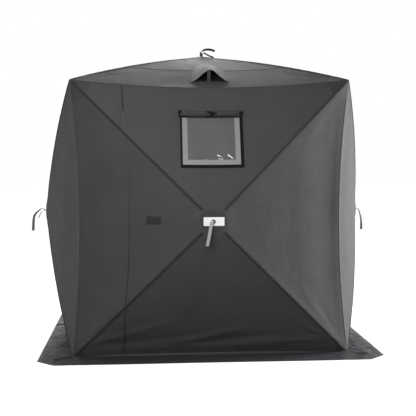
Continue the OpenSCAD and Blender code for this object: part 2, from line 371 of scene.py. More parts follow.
def join(name, parts):
    """Several pieces made one, under a new name, each part with its own material."""
    for other in bpy.context.selected_objects:
        other.select_set(False)
    for part in parts:
        part.select_set(True)
    bpy.context.view_layer.objects.active = parts[0]
    bpy.ops.object.join()
    parts[0].name = name
    parts[0].data.name = name
    return parts[0]


def inside(points, outline):
    """Which flat points lie inside a closed outline."""
    x, y = points[:, 0], points[:, 1]
    found = np.zeros(len(points), bool)
    for (x0, y0), (x1, y1) in zip(outline, np.roll(outline, -1, axis=0)):
        if y0 == y1:
            continue
        crosses = (y0 > y) != (y1 > y)
        found ^= crosses & (x < (x1 - x0) * (y - y0) / (y1 - y0) + x0)
    return found


def distance_to(points, outline):
    """The distance from flat points to a closed outline."""
    nearest = np.full(len(points), 1e9)
    for a, b in zip(outline, np.roll(outline, -1, axis=0)):
        along = b - a
        share = np.clip(((points - a) @ along) / max(along @ along, 1e-12), 0, 1)
        nearest = np.minimum(nearest, np.linalg.norm(points - a - share[:, None] * along, axis=1))
    return nearest


def resampled(outline, step):
    """A closed outline with points no further apart than a step."""
    points = []
    outline = np.asarray(outline, float)
    for a, b in zip(outline, np.roll(outline, -1, axis=0)):
        count = max(1, math.ceil(np.linalg.norm(b - a) / step - 1e-6))
        points += [a + (b - a) * i / count for i in range(count)]
    return np.array(points)


def flat_mesh(outline, holes=(), step=STEP):
    """Triangles that fill an outline but not its holes: (points, triangles)."""
    loops = [resampled(loop, step) for loop in (outline, *holes)]
    low, high = loops[0].min(0), loops[0].max(0)
    axes = [np.arange(math.floor(a / step), math.ceil(b / step) + 1) * step for a, b in zip(low, high)]
    grid = np.stack(np.meshgrid(*axes), -1).reshape(-1, 2)
    keep = inside(grid, loops[0])
    for loop in loops:
        keep &= distance_to(grid, loop) > 0.45 * step
    for hole in loops[1:]:
        keep &= ~inside(grid, hole)
    points = list(loops) + [grid[keep]]
    edges = []
    start = 0
    for loop in loops:
        count = len(loop)
        edges += [(start + i, start + (i + 1) % count) for i in range(count)]
        start += count
    flat = [Vector(p) for p in np.concatenate(points)]
    made = delaunay_2d_cdt(flat, edges, [], 0, 1e-6)
    points = np.array([tuple(p) for p in made[0]])
    faces = np.array([f for f in made[2] if len(f) == 3])
    middle = points[faces].mean(1)
    keep = inside(middle, loops[0])
    for hole in loops[1:]:
        keep &= ~inside(middle, hole)
    faces = faces[keep]
    a, b, c = (points[faces[:, i]] for i in range(3))
    area = (b[:, 0] - a[:, 0]) * (c[:, 1] - a[:, 1]) - (b[:, 1] - a[:, 1]) * (c[:, 0] - a[:, 0])
    faces[area < 0] = faces[area < 0][:, ::-1]
    faces = faces[np.abs(area) > 1e-10]
    used, index = np.unique(faces, return_inverse=True)
    return points[used], index.reshape(-1, 3)


def rim_edges(faces):
    """The edges that only one face has, in that face's direction."""
    seen = {}
    for face in faces:
        for a, b in zip(face, np.roll(face, -1)):
            seen[(int(a), int(b))] = True
    return [edge for edge in seen if (edge[1], edge[0]) not in seen]


def thick_sheet(name, top, faces, below, material, uv, **options):
    """A closed thin sheet: its top skin, the same skin moved by `below`, and its rim."""
    count = len(top)
    low = top + below
    solid = [tuple(f) for f in faces]
    solid += [tuple(i + count for i in face[::-1]) for face in faces]
    solid += [(b, a, a + count, b + count) for a, b in rim_edges(faces)]
    return piece(name, np.concatenate([top, low]), solid, material, np.concatenate([uv, uv]), **options)


# ---- The cloth's surface ----


def relaxed(seam, rim, cells=48, rounds=2500):
    """A smooth field over a square, set on its diagonals and rim: a soap film over them."""
    line = np.linspace(-1, 1, 2 * cells + 1)
    across, up = (np.abs(a) for a in np.meshgrid(line, line))
    most = np.maximum(across, up)
    on_seam = np.isclose(across, up)
    on_rim = np.isclose(most, 1)
    field = np.where(on_seam, seam(1 - most), np.where(on_rim, rim(np.minimum(across, up)), 0.0))
    free = ~(on_seam | on_rim)[1:-1, 1:-1]
    for _ in range(rounds):
        mean = (field[:-2, 1:-1] + field[2:, 1:-1] + field[1:-1, :-2] + field[1:-1, 2:]) / 4
        field[1:-1, 1:-1][free] = mean[free]
    return field


def sampled(field, s, t):
    """A field's value at s across and t up, each from -1 to 1."""
    cells = (field.shape[0] - 1) // 2
    x, y = ((np.clip(a, -1, 1) + 1) * cells for a in (s, t))
    i, j = (np.clip(a.astype(int), 0, 2 * cells - 1) for a in (x, y))
    p, q = x - i, y - j
    low = field[j, i] * (1 - p) + field[j, i + 1] * p
    high = field[j + 1, i] * (1 - p) + field[j + 1, i + 1] * p
    return low * (1 - q) + high * q


BOWED = relaxed(lambda q: 4 * q * (1 - q), lambda s: 0 * s)
DRAWN_IN = relaxed(lambda q: 0 * q, lambda s: 1 - s * s)


def smooth(x):
    """A soft step from 0 to 1."""
    x = np.clip(x, 0, 1)
    return x * x * (3 - 2 * x)


def crease(u, v, a, b, width, height):
    """A soft fold from a to b: a ridge, or a valley where the height is negative."""
    run = np.subtract(b, a)
    length = np.linalg.norm(run)
    along = ((u - a[0]) * run[0] + (v - a[1]) * run[1]) / length**2
    off = ((v - a[1]) * run[0] - (u - a[0]) * run[1]) / length
    fade = np.sin(math.pi * np.clip(along, 0, 1)) ** 0.8
    return height * np.exp(-((off / width) ** 2)) * fade


def ripple(u, v, phase):
    """Slack in taut cloth: slow waves that never repeat on a panel."""
    a = np.sin(7.1 * u + 3.3 * np.sin(2.3 * v + phase) + phase)
    b = np.sin(9.7 * v + 2.1 * np.sin(3.1 * u - phase) + 2 * phase)
    c = np.sin(15.0 * u - 11.0 * v + 1.7 * np.sin(5 * v + phase))
    return 0.0011 * a + 0.0009 * b + 0.0006 * c * np.sin(3 * u + phase)


def corner_folds(side, u, v):
    """Short tension folds that fan out of each corner, beside its seam."""
    total = 0
    for sign_u in (-1, 1):
        for sign_v in (-1, 1):
            for turn, height in ((0.16, 0.0022), (0.3, -0.0018), (-0.17, 0.002), (-0.31, -0.0016)):
                angle = math.atan2(side.half_v, side.half_u) + turn
                way = np.array([-sign_u * math.cos(angle), -sign_v * math.sin(angle)])
                corner = np.array([sign_u * side.half_u, sign_v * side.half_v])
                total = total + crease(u, v, corner + 0.05 * way, corner + 0.55 * way, 0.016, height)
    return total


def upright_folds(side, u, v):
    """The side panels' long upright waves, parallel to their free edges."""
    total = 0
    for place, width, height in ((0.8, 0.1, -0.012), (0.6, 0.06, 0.002), (0.5, 0.05, -0.001)):
        for sign in (-1, 1):
            shift = 0.02 * math.sin(3 * place + sign + side.half_v)
            foot = (sign * (place + shift), -place * 0.98)
            head = (sign * (place - 0.6 * shift), place * 0.98)
            total = total + crease(u, v, foot, head, width, height)
    return total


def ground_folds(side, u, v):
    """Slack above the bottom edge: long low folds that rise out of the corners."""
    total = 0
    for foot, head, width, height in (
        ((-0.86, -0.82), (-0.25, -0.66), 0.02, 0.008),
        ((-0.80, -0.82), (-0.05, -0.76), 0.018, -0.007),
        ((-0.30, -0.83), (0.30, -0.70), 0.02, 0.009),
        ((-0.12, -0.83), (0.55, -0.74), 0.016, -0.007),
        ((0.10, -0.84), (0.86, -0.78), 0.018, 0.008),
        ((0.90, -0.84), (0.55, -0.68), 0.014, 0.006),
        ((0.91, -0.86), (0.66, -0.74), 0.010, -0.005),
        ((0.92, -0.87), (0.70, -0.80), 0.010, 0.005),
        ((-0.90, -0.84), (-0.60, -0.68), 0.014, -0.006),
        ((-0.90, -0.82), (-0.55, -0.53), 0.011, 0.006),
        ((-0.89, -0.83), (-0.55, -0.575), 0.011, -0.006),
        ((-0.80, -0.85), (0.80, -0.85), 0.014, 0.006),
    ):
        total = total + crease(u, v, foot, head, width, height)
    return total


def slack(side, u, v):
    """How far wrinkles lift the cloth. It fades out at the free edges and at the hub."""
    rim = np.minimum(side.half_u - np.abs(u), side.half_v - np.abs(v))
    lift = ripple(u, v, 1.0 + 1.7 * list(SIDES).index(side.name)) + corner_folds(side, u, v)
    if side.name != "roof":
        lift = lift + upright_folds(side, u, v) + ground_folds(side, u, v)
    seam = np.abs(np.abs(u) / side.half_u - np.abs(v) / side.half_v) * side.half_u
    calm = 0.25 + 0.75 * smooth(seam / 0.09)
    return lift * calm * smooth(rim / 0.07) * smooth((np.hypot(u, v) - 0.1) / 0.2)


def cloth_at(side, u, v, lift=0.0):
    """World places of the cloth over flat points (u, v) of a side, lifted by `lift`."""
    u, v = np.asarray(u, float), np.asarray(v, float)
    s, t = u / side.half_u, v / side.half_v
    beside = np.abs(s) > np.abs(t)
    off_seam = np.clip(np.abs(np.abs(s) - np.abs(t)) / 0.03, 0, 1)
    power = np.where((v < 0) & ~beside & (side.name != "roof"), 1.6, 1.0)
    drawn = EDGE_IN * sampled(DRAWN_IN, s, t) ** power * off_seam
    share = np.where((v < 0) & (side.name != "roof"), GROUND_UP, 1.0)
    most = np.maximum(np.abs(s), np.abs(t))
    n = side.pop * (1 - most) + SEAM_BOW * sampled(BOWED, s, t) - drawn + slack(side, u, v)
    from_hub = np.hypot(u, v)
    domed = side.pop + 0.0005 - 0.8 * from_hub**2
    n = n + smooth((0.17 - from_hub) / 0.11) * (domed - n) + lift
    u = np.where(beside, u - np.sign(u) * drawn, u)
    v = np.where(beside, v, v - np.sign(v) * drawn * share)
    points = side.at(u, v, n)
    if side.name != "roof":
        points[..., 2] = np.maximum(points[..., 2], 0.0055)
    return points


def cloth_piece(name, side, outline, material, lift=0.0, holes=(), step=STEP, skin=SKIN, **options):
    """A closed sheet of cloth on a side's surface, over a flat outline."""
    flat, faces = flat_mesh(outline, holes, step)
    height = lift(flat[:, 0], flat[:, 1]) if callable(lift) else lift
    top = cloth_at(side, flat[:, 0], flat[:, 1], height)
    return thick_sheet(name, top, faces, -skin * side.n, material, flat, **options)


# ---- Panels ----


def triangle(side, out):
    """A panel's outline: its outer edge, and its two seams up to the hub."""
    along = np.array([side.half_u, side.half_v])
    near = along / np.linalg.norm(along) * HUB_HOLE
    sign = np.array([(-1, 1), (1, 1)]) if out[1] else np.array([(1, 1), (1, -1)])
    flip = out[0] + out[1]
    far = sign * along * flip
    tip = sign[::-1] * near * flip
    return [tuple(p) for p in (*far, *tip)]


def corner_patches(side, out):
    """The outlines of a panel's doubled cloth at its two corners."""
    made = []
    out = np.array(out, float)
    for sign in (-1, 1):
        across = sign * np.abs(out[::-1])
        corner = (out + across) * (side.half_u, side.half_v)
        at_ground = side.name != "roof" and corner[1] < 0
        size = 0.08 if at_ground else 0.135
        inner = corner * (1 - 1.15 * size / np.linalg.norm(corner))
        made.append([tuple(corner), tuple(corner - across * size), tuple(inner)])
    return made


def seam_strips(side, out):
    """The outlines of the felled cloth along a panel's two seams."""
    half = np.array([side.half_u, side.half_v])
    out = np.array(out, float)
    diagonal = np.linalg.norm(half)
    made = []
    for sign in (-1, 1):
        way = (out + sign * np.abs(out[::-1])) * half / diagonal
        inward = out - way * (out @ way)
        inward = inward / np.linalg.norm(inward) * 0.009
        start, end = way * 0.1, way * (diagonal - 0.02)
        made.append([tuple(start), tuple(end), tuple(end + inward), tuple(start + inward)])
    return made


def clipped(outline, normal, offset):
    """The part of a convex outline on the side that `normal` points to."""
    made = []
    for a, b in zip(outline, [*outline[1:], outline[0]]):
        da, db = (float(np.dot(normal, p)) - offset for p in (a, b))
        if da >= 0:
            made.append(tuple(a))
        if da * db < 0:
            made.append(tuple(np.add(a, np.subtract(b, a) * da / (da - db))))
    return made


def chamfered(width, height, cut, middle=0.0):
    """A rectangle with its corners cut off."""
    a, b = width / 2, height / 2
    corners = [(a, cut - b), (a, b - cut), (a - cut, b), (cut - a, b), (-a, b - cut), (-a, cut - b)]
    corners += [(cut - a, -b), (a - cut, -b)]
    return [(x, y + middle) for x, y in corners]


def hub_patch(side, out):
    """A panel's share of the doubled cloth around the hub."""
    half = np.array([side.half_u, side.half_v])
    out = np.array(out, float)
    across = np.abs(out[::-1])
    outline = chamfered(0.167, 0.119, 0.03, 0.0085)
    outline = clipped(outline, (out + across) / half, 0)
    outline = clipped(outline, (out - across) / half, 0)
    return clipped(outline, out / half, HUB_HOLE / np.linalg.norm(half))


def blend_line(side, out, start, end):
    """Two world points on a panel's middle line, at distances from its outer edge."""
    reach = side.half_u if out[0] else side.half_v
    edge = side.at(out[0] * reach, out[1] * reach, 0.0)
    hub = side.at(0.0, 0.0, side.pop)
    way = (hub - edge) / np.linalg.norm(hub - edge)
    return edge + way * start, edge + way * end


def finish_panel(made, side, name, out):
    start, end = (0.06, 0.145) if side.name == "roof" else (0.07, 0.19)
    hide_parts(f"{side.name}_{name}_panel")
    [tuple(p) for p in blend_line(side, out, start, end)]
    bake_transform(made)


def add_panel(side, name, out, outlines=None, holes=(), strips=()):
    """One fabric triangle, or the parts of it that stay when the door opens."""
    outlines = outlines or [triangle(side, out)]
    parts = []
    for i, outline in enumerate(outlines):
        own_holes = holes if i == 0 else ()
        parts.append(cloth_piece(f"cloth_{i}", side, outline, FABRIC, holes=own_holes))
    for i, outline in enumerate(corner_patches(side, out)):
        parts.append(cloth_piece(f"patch_{i}", side, outline, PATCH, lift=0.0014, step=0.02))
    for i, outline in enumerate(seam_strips(side, out)):
        parts.append(cloth_piece(f"strip_{i}", side, outline, SEAM, lift=0.0027, step=0.02))
    parts.append(cloth_piece("hub_patch", side, hub_patch(side, out), PATCH, lift=0.0014, step=0.007))
    for i, outline in enumerate(strips):
        parts.append(cloth_piece(f"sewn_seam_{i}", side, outline, SEAM, lift=0.0014, step=0.02))
    made = join(f"{side.name}_{name}_cloth", parts)
    finish_panel(made, side, name, out)
    return made


# ---- The front wall, with its door and window ----

DOOR_V = HALF_H - 0.19  # top of the door
ZIP_U = -0.575


def zip_u(v):
    """How far across the zip runs at a height."""
    return ZIP_U + 0.03 * (1 - (np.asarray(v) / HALF_H) ** 2)


def seam_v(u):
    """The upper diagonal's height at a place across."""
    return np.abs(u) * HALF_H / HALF_W


def zip_meets_seam():
    """The height at which the zip crosses the upper diagonal."""
    v = 0.56
    for _ in range(20):
        v = float(seam_v(zip_u(v)))
    return v


def zip_points(low, high, count=12):
    """Points along the zip from one height to another."""
    return [(float(zip_u(v)), float(v)) for v in np.linspace(low, high, count)]


CROSS_V = zip_meets_seam()
FOLD_V = float(seam_v(FOLD_X))
DOOR_TOP_U = -DOOR_V * HALF_W / HALF_H  # where the door's top meets the diagonal


def front_outlines():
    """The front wall's outlines, by panel: what stays, and what the door takes."""
    front = SIDES["front"]
    a, b = front.half_u, front.half_v
    near = np.array([a, b]) / math.hypot(a, b) * HUB_HOLE
    upper_zip = zip_points(CROSS_V, DOOR_V)
    door_upper = [(DOOR_TOP_U, DOOR_V), *upper_zip[::-1]]
    top = [(-a, b), (a, b), (near[0], near[1]), (-near[0], near[1]), *upper_zip, (DOOR_TOP_U, DOOR_V)]
    middle_zip = zip_points(-CROSS_V, CROSS_V, 30)
    door_middle = [(-FOLD_X, -FOLD_V), *middle_zip, (-FOLD_X, FOLD_V)]
    band = [(-a, -b), (-FOLD_X, -FOLD_V), (-FOLD_X, FOLD_V), (-a, b)]
    inner = [*middle_zip[::-1], (-near[0], -near[1]), (-near[0], near[1])]
    mirrored = {
        "door_lower": [(x, -y) for x, y in door_upper],
        "bottom": [(x, -y) for x, y in top],
    }
    return {
        "top": [top],
        "left": [band, inner],
        "bottom": [mirrored["bottom"]],
        "door_upper": door_upper,
        "door_middle": door_middle,
        "door_lower": mirrored["door_lower"],
    }


FRONT = front_outlines()


def flat_v(z):
    """The flat height on the front wall of a point of the top panel at a world height."""
    v = np.linspace(0, HALF_H, 800)
    heights = cloth_at(SIDES["front"], np.zeros_like(v), v)[:, 2]
    return float(np.interp(z, heights, v))


WINDOW_V = (flat_v(WINDOW_LOW), flat_v(WINDOW_TOP))
WINDOW_U = WINDOW_W / 2
TAPE = 0.011  # width of the black binding
WIDE_TAPE = 0.019  # and of the part of it along the right and the bottom
VELCRO = 0.034  # width of the border inside it


def box_outline(u0, v0, u1, v1):
    return [(u0, v0), (u1, v0), (u1, v1), (u0, v1)]


def along_zip(low, high, left, right, count=40):
    """The outline of a strip beside the zip, between two distances from it."""
    line = zip_points(low, high, count)
    return [(u + right, v) for u, v in line] + [(u + left, v) for u, v in line[::-1]]


def zip_seams(panel):
    """The plain seams that carry the zip's line on to the eave and to the ground."""
    if panel == "left":
        return []
    high = HALF_H - 0.004
    low = DOOR_V + 0.002
    if panel == "bottom":
        low, high = -high, -low
    return [along_zip(low, high, -0.001, 0.009, 8)]


def window_box(inset, top):
    """A box inside the window's binding."""
    low, high = WINDOW_V
    left, right = -WINDOW_U + TAPE + inset, WINDOW_U - WIDE_TAPE - inset
    return box_outline(left, low + WIDE_TAPE + inset, right, high - top)


def window_hole():
    return window_box(VELCRO, 0.014)


for side in SIDES.values():
    panels = ROOF_PANELS if side.name == "roof" else WALL_PANELS
    for name, out in panels.items():
        if side.name == "front" and name != "right":
            hole = [window_hole()] if name == "top" else ()
            add_panel(side, name, out, FRONT[name], hole, zip_seams(name))
        elif (side.name, name) == ("roof", "front"):
            add_panel(side, name, out, strips=[box_outline(-0.5, -0.545, 0.5, -0.537)])
        else:
            add_panel(side, name, out)


def add_door():
    """The door: three fixed pieces of cloth, from the fold at its left to the zip."""
    for part, panel in (("upper", "top"), ("middle", "left"), ("lower", "bottom")):
        outline = FRONT[f"door_{part}"]
        made = cloth_piece(f"door_{part}_cloth", SIDES["front"], outline, FABRIC)
        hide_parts(f"door_{part}")
        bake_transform(made)


add_door()


def add_zip():
    """The zip: a tape and a row of teeth on each side, cut where the panels meet."""
    front = SIDES["front"]
    spans = {"upper": (CROSS_V, DOOR_V), "middle": (-CROSS_V, CROSS_V), "lower": (-DOOR_V, -CROSS_V)}
    panels = {"upper": "top", "middle": "left", "lower": "bottom"}
    tooth = np.array([0.0026, 0.0026, 0.0022])
    pitch = 0.0056
    for part, (low, high) in spans.items():
        for way, body in ((-1, f"door_{part}_body"), (1, f"front_{panels[part]}_panel_body")):
            inner, outer = sorted((way * 0.0008, way * 0.0028))
            strip = along_zip(low, high, inner, outer)
            tape = cloth_piece("tape", front, strip, BINDING, lift=0.0012, skin=0.0014)
            inner, outer = sorted((way * 0.0028, way * 0.014))
            flap = cloth_piece("flap", front, along_zip(low, high, inner, outer), FABRIC, lift=0.0024)
            places = np.arange(low + pitch, high - pitch / 2, pitch) + (pitch / 2 if way > 0 else 0)
            points, faces = [], []
            for v in places:
                middle = cloth_at(front, zip_u(v) + way * 0.0008, v, 0.0014)
                for corner in range(8):
                    sign = np.array([corner & 1, corner >> 1 & 1, corner >> 2 & 1]) - 0.5
                    points.append(middle + front.at(*(sign * tooth)) - front.origin)
                first = len(points) - 8
                sides = ((0, 2, 3, 1), (4, 5, 7, 6), (0, 1, 5, 4), (2, 6, 7, 3), (0, 4, 6, 2), (1, 3, 7, 5))
                faces += [tuple(first + i for i in face) for face in sides]
            teeth = piece("teeth", points, faces, TRIM, np.zeros((len(points), 2)))
            made = join(f"zip_{part}_{'door' if way < 0 else 'wall'}_side", [tape, flap, teeth])
            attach(made, body)


add_zip()


# ---- Window ----


def vinyl_lift(u, v):
    """The vinyl's own creases, which fan out of its lower left corner."""
    low, high = WINDOW_V
    left = -WINDOW_U + TAPE + VELCRO
    foot = (left - 0.01, low + 0.045)
    rise = 0
    for turn, length, width, height in (
        (0.10, 0.20, 0.006, 0.0034),
        (0.24, 0.17, 0.004, -0.002),
        (0.36, 0.16, 0.005, 0.0034),
        (0.52, 0.15, 0.004, 0.0028),
        (0.63, 0.25, 0.005, 0.0040),
        (0.72, 0.24, 0.004, -0.003),
        (0.95, 0.27, 0.005, 0.0022),
        (1.05, 0.22, 0.004, -0.0015),
    ):
        tip = (foot[0] + length * math.cos(turn), foot[1] + length * math.sin(turn))
        rise = rise + crease(u, v, foot, tip, width, height)
    for start, end, width, height in (
        ((-0.05, low + 0.056), (0.03, low + 0.058), 0.006, 0.0045),
        ((0.03, low + 0.064), (0.115, low + 0.056), 0.005, 0.0042),
        ((0.02, low + 0.092), (0.09, low + 0.072), 0.005, 0.0036),
        ((0.09, low + 0.1), (0.14, low + 0.06), 0.005, 0.0042),
        ((-0.07, high - 0.03), (-0.05, high - 0.04), 0.008, 0.003),
    ):
        rise = rise + crease(u, v, start, end, width, height)
    return 0.0042 + rise


def add_window():
    front = SIDES["front"]
    low, high = WINDOW_V
    outer = box_outline(-WINDOW_U, low, WINDOW_U, high)
    rim = window_box(0, 0.006)
    opening = window_hole()
    binding = cloth_piece(
        "binding", front, outer, BINDING, lift=0.0042, holes=[rim], skin=0.004, step=0.01
    )
    loops = cloth_piece("loops", front, rim, PATCH, lift=0.0016, holes=[opening], step=0.012)
    frame_piece = join("window_frame", [binding, loops])
    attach(frame_piece, "front_top_panel_body")

    edge = window_box(0.002, 0.008)
    clear = window_box(VELCRO, 0.009)
    pane = cloth_piece(
        "window_vinyl", front, edge, VINYL, lift=vinyl_lift, skin=0.0006, step=0.006, slot="vinyl"
    )
    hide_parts("window_pane")
    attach(pane, "window_pane_body")

    def border_lift(u, v):
        return vinyl_lift(u, v) + 0.0012

    border = cloth_piece(
        "window_border", front, edge, BORDER, lift=border_lift, holes=[clear], step=0.008
    )
    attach(border, "window_pane_body")


add_window()


def add_cover():
    """The window's cover, rolled up above it and held by a tie."""
    front = SIDES["front"]
    rings, around = 70, 28
    middle_v = WINDOW_V[1] + 0.023
    points, uv = [], []
    for i in range(rings + 1):
        share = i / rings
        u = -0.212 + 0.41 * share
        squeeze = 0.0055 * math.exp(-((u - 0.003) / 0.012) ** 2)
        sag = 0.0035 * math.sin(2 * math.pi * share) ** 2
        end = smooth(min(share, 1 - share) / 0.012)
        centre = cloth_at(front, u, middle_v - sag, 0.0212)
        for k in range(around):
            turn = 2 * math.pi * k / around
            spiral = 0.0012 * k / around
            long_folds = 0.0011 * math.sin(3 * turn + 31 * u)
            short_folds = 0.0009 * math.sin(47 * u + 2 * turn + math.sin(90 * u))
            radius = (0.0187 + spiral + (long_folds + short_folds) - squeeze) * (0.72 + 0.28 * end)
            offset = front.v * math.cos(turn) * radius * 1.04 + front.n * math.sin(turn) * radius
            points.append(centre + offset)
            uv.append((u, 0.12 * k / around))
    faces = []
    for i in range(rings):
        for k in range(around):
            a, b = i * around + k, i * around + (k + 1) % around
            faces.append((a, b, b + around, a + around))
    for ring, flip in ((0, False), (rings, True)):
        centre = np.mean(points[ring * around : (ring + 1) * around], axis=0)
        inner = len(points)
        for share in (0.62, 0.3):
            for k in range(around):
                out = points[ring * around + k] - centre
                depth = front.u * (0.003 if share > 0.5 else -0.001) * (1 if ring == 0 else -1)
                points.append(centre + out * share + depth)
                uv.append(uv[ring * around + k])
        points.append(centre)
        uv.append(uv[ring * around])
        loops = [ring * around, inner, inner + around]
        for first, second in zip(loops, loops[1:]):
            for k in range(around):
                j = (k + 1) % around
                quad = (first + k, second + k, second + j, first + j)
                faces.append(quad[::-1] if flip else quad)
        last = len(points) - 1
        for k in range(around):
            tri = (loops[-1] + k, last, loops[-1] + (k + 1) % around)
            faces.append(tri[::-1] if flip else tri)
    made = piece("window_cover_roll", points, faces, PATCH, uv)
    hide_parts("window_cover")
    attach(made, "front_top_panel_body")
    return middle_v


def swept(name, path, across, width, thick, material, slot="strap"):
    """A flat strap along a path; `across` gives the way its width points at each point."""
    path = np.asarray(path, float)
    tangent = np.gradient(path, axis=0)
    tangent /= np.linalg.norm(tangent, axis=1, keepdims=True)
    across = np.asarray(across, float) - tangent * np.sum(np.asarray(across) * tangent, 1, keepdims=True)
    across /= np.linalg.norm(across, axis=1, keepdims=True)
    face = np.cross(tangent, across)
    section = [(-1, -0.8), (0, -1), (1, -0.8), (1.04, 0), (1, 0.8), (0, 1), (-1, 0.8), (-1.04, 0)]
    count = len(section)
    run = np.concatenate([[0], np.cumsum(np.linalg.norm(np.diff(path, axis=0), axis=1))])
    points, uv, faces = [], [], []
    for i in range(len(path)):
        for x, y in section:
            points.append(path[i] + across[i] * x * width / 2 / 1.04 + face[i] * y * thick / 2)
            uv.append((x * width / 2, run[i]))
    for i in range(len(path) - 1):
        for k in range(count):
            a, b = i * count + k, i * count + (k + 1) % count
            faces.append((a, b, b + count, a + count))
    faces.append(tuple(range(count))[::-1])
    faces.append(tuple(range((len(path) - 1) * count, len(path) * count)))
    return piece(name, points, faces, material, uv, slot=slot)


def curve_through(route, per_leg=6):
    """Points on a smooth curve through a route's points."""
    route = np.asarray(route, float)
    ends = np.concatenate([[2 * route[0] - route[1]], route, [2 * route[-1] - route[-2]]])
    made = []
    for a, b, c, d in zip(ends, ends[1:], ends[2:], ends[3:]):
        for t in np.arange(per_leg) / per_leg:
            square = (2 * a - 5 * b + 4 * c - d) * t**2
            cube = (3 * b - a - 3 * c + d) * t**3
            made.append(0.5 * (2 * b + (c - a) * t + square + cube))
    return np.array([*made, route[-1]])


def add_cover_tie(middle_v):
    """The tie around the rolled cover: a band, and a bow of two loops."""
    front = SIDES["front"]
    centre = cloth_at(front, 0.003, middle_v, 0.0205)
    turns = np.linspace(0, 2 * math.pi, 33)
    ring = [centre + front.v * math.cos(t) * 0.0165 + front.n * math.sin(t) * 0.016 for t in turns]
    band = swept("band", ring, [front.u] * len(ring), 0.013, 0.0016, BINDING)
    parts = [band]
    knot = cloth_at(front, 0.003, middle_v, 0.0385)
    for sign, length in ((-1, 0.034), (1, 0.03)):
        loop = []
        for swing in np.linspace(0, 2 * math.pi, 17):
            out = sign * length * math.sin(swing / 2)
            drop = 0.004 * math.sin(swing) - 0.006 * math.sin(swing / 2) * sign
            loop.append(knot + front.u * out + front.v * drop + front.n * 0.003 * math.sin(swing))
        parts.append(swept("loop", loop, [front.v] * len(loop), 0.012, 0.0014, BINDING))
    for end in (-0.201, 0.187):
        at_end = cloth_at(front, end, middle_v, 0.0205)
        wrap = [at_end + front.v * math.cos(t) * 0.0195 + front.n * math.sin(t) * 0.019 for t in turns]
        parts.append(swept("wrap", wrap, [front.u] * len(wrap), 0.02, 0.0016, BINDING))
    made = join("window_cover_tie", parts)
    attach(made, "front_top_panel_body")


add_cover_tie(add_cover())

# The dark hook-and-loop tab beside the zip, which holds the opened door.
TAB = box_outline(-0.43, -0.023, -0.332, 0.028)
tab = cloth_piece("door_tab", SIDES["front"], TAB, SEAM, lift=0.0026, step=0.008)
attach(tab, "front_left_panel_body")


# ---- Hubs and pull straps ----


def ring_piece(name, centre, axis_side, outer, inner, high, material, slot="trim"):
    """A rounded ring that lies on a surface, facing out of a side."""
    around, section = 32, 10
    mean, half = (outer + inner) / 2, (outer - inner) / 2
    points, faces, uv = [], [], []
    for i in range(around):
        turn = 2 * math.pi * i / around
        way = axis_side.u * math.cos(turn) + axis_side.v * math.sin(turn)
        for k in range(section):
            bend = 2 * math.pi * k / section
            out = way * (mean + half * math.cos(bend))
            points.append(centre + out + axis_side.n * high * math.sin(bend))
            uv.append((mean * turn, half * bend))
            a, b = i * section + k, i * section + (k + 1) % section
            c, d = ((i + 1) % around) * section + k, ((i + 1) % around) * section + (k + 1) % section
            faces.append((a, c, d, b))
    return piece(name, points, faces, material, uv, slot=slot)


def circle(radius, count=28, middle=(0, 0)):
    turns = [2 * math.pi * i / count for i in range(count)]
    return [(middle[0] + radius * math.cos(t), middle[1] + radius * math.sin(t)) for t in turns]


def add_hub_cap(side):
    """The cloth cap that the hub wears, and the grommet its strap comes out of. Every cap but the front's is
    near black, a painted shade.
    """
    body = f"hub_{side.name}_body"
    # Painted shade: the caps of the other hubs get the near-black binding, a darker copy of the front cap's
    # patch cloth.
    cloth = PATCH if side.name == "front" else BINDING
    cap = cloth_piece(f"hub_{side.name}_cap", side, circle(0.064), cloth, lift=0.0028, step=0.006)
    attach(cap, body)
    if side.name == "front":
        label = chamfered(0.13, 0.054, 0.003)
        white = cloth_piece("hub_front_white_patch", side, label, WHITE, lift=0.0044, step=0.006)
        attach(white, body)
    if side.name == "back":
        return
    rise = 0.0052 if side.name == "front" else 0.0036
    centre = cloth_at(side, -0.003 if side.name == "front" else 0.0, 0.0, rise)
    ring = ring_piece(f"hub_{side.name}_grommet", centre, side, 0.0135, 0.0055, 0.0022, TRIM)
    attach(ring, body)


for side in SIDES.values():
    add_hub_cap(side)

# The straps' routes, in metres, each from its hub to its loose end.
FRONT_TAIL = [
    (0, -1.158, 0.9), (-0.008, -1.174, 0.9), (-0.018, -1.186, 0.888), (-0.024, -1.195, 0.862),
    (-0.03, -1.2, 0.828), (-0.038, -1.203, 0.788), (-0.047, -1.204, 0.747),
]
LEFT_TAIL = [
    (-1.16, 0, 0.902), (-1.174, 0, 0.914), (-1.188, 0, 0.916), (-1.206, 0, 0.904),
    (-1.228, 0, 0.884), (-1.243, 0, 0.86), (-1.249, 0, 0.83), (-1.251, 0, 0.795),
    (-1.253, 0, 0.753),
]
RIGHT_TAIL = [
    (1.16, 0, 0.9), (1.172, 0, 0.9), (1.184, 0, 0.888), (1.194, 0, 0.864), (1.202, 0, 0.835),
    (1.206, 0, 0.8), (1.207, 0, 0.77), (1.207, 0, 0.74),
]
ROOF_TAIL = [
    (-0.004, 0, 2.034), (-0.006, 0, 2.048), (-0.005, 0, 2.062), (0.004, 0, 2.074),
    (0.022, 0, 2.082), (0.045, 0, 2.086), (0.07, 0, 2.083), (0.098, 0, 2.074),
]
